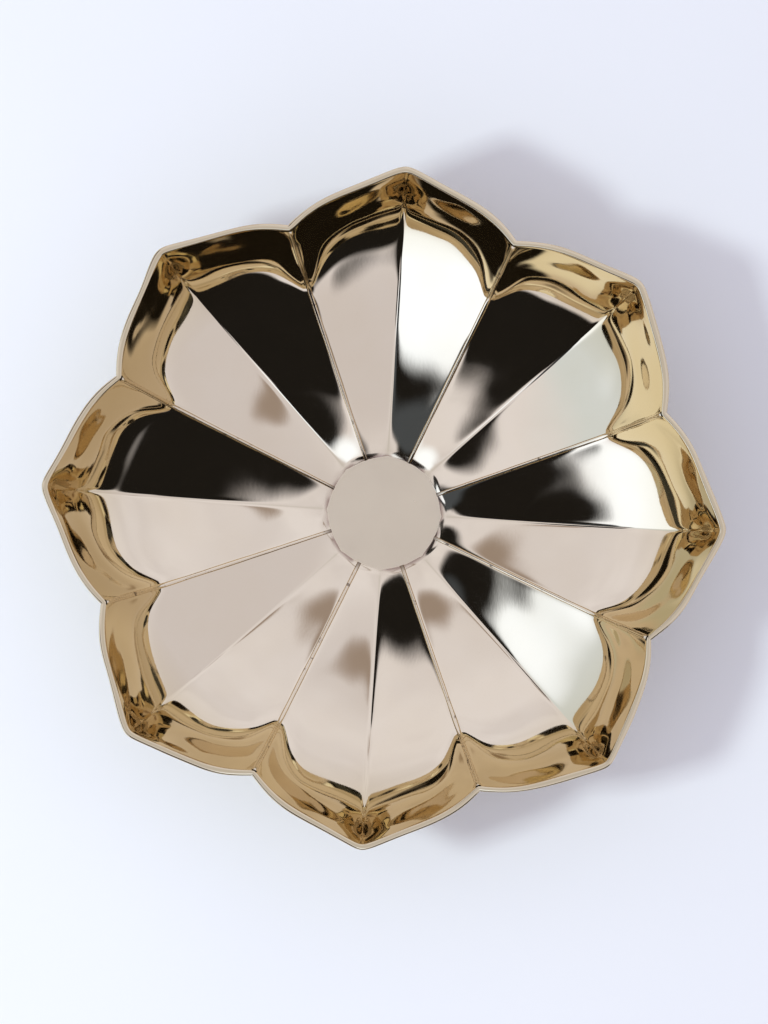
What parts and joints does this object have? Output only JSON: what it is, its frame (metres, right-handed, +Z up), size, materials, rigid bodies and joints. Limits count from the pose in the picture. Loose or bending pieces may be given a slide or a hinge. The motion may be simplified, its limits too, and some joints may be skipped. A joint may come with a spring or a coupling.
{
  "type": "lotus urli bowl",
  "caption": "Wide shallow brass bowl of lotus form, with folded pointed petals joined along raised ribs round a flat base disc, on a low foot ring.",
  "frame": {"origin": "on the table, under the middle of the bowl", "axes": "+Z up through the middle of the bowl, petal_1's fold along +X"},
  "size_m": [0.3, 0.3, 0.068],
  "materials": {
    "petal_brass": "polished",
    "seam_brass": "dressed and polished braze",
    "disc_brass": "polished, a little softer than the petals",
    "foot_brass": "satin"
  },
  "bodies": {
    "root": {"petal_1": "petal_brass", "petal_2": "petal_brass", "petal_3": "petal_brass", "petal_4": "petal_brass", "petal_5": "petal_brass", "petal_6": "petal_brass", "petal_7": "petal_brass", "petal_8": "petal_brass", "rib_seam_1": "seam_brass", "rib_seam_2": "seam_brass", "rib_seam_3": "seam_brass", "rib_seam_4": "seam_brass", "rib_seam_5": "seam_brass", "rib_seam_6": "seam_brass", "rib_seam_7": "seam_brass", "rib_seam_8": "seam_brass", "base_disc": "disc_brass", "base_seam": "seam_brass", "foot_ring": "foot_brass", "foot_seam": "seam_brass"}
  },
  "joints": []
}
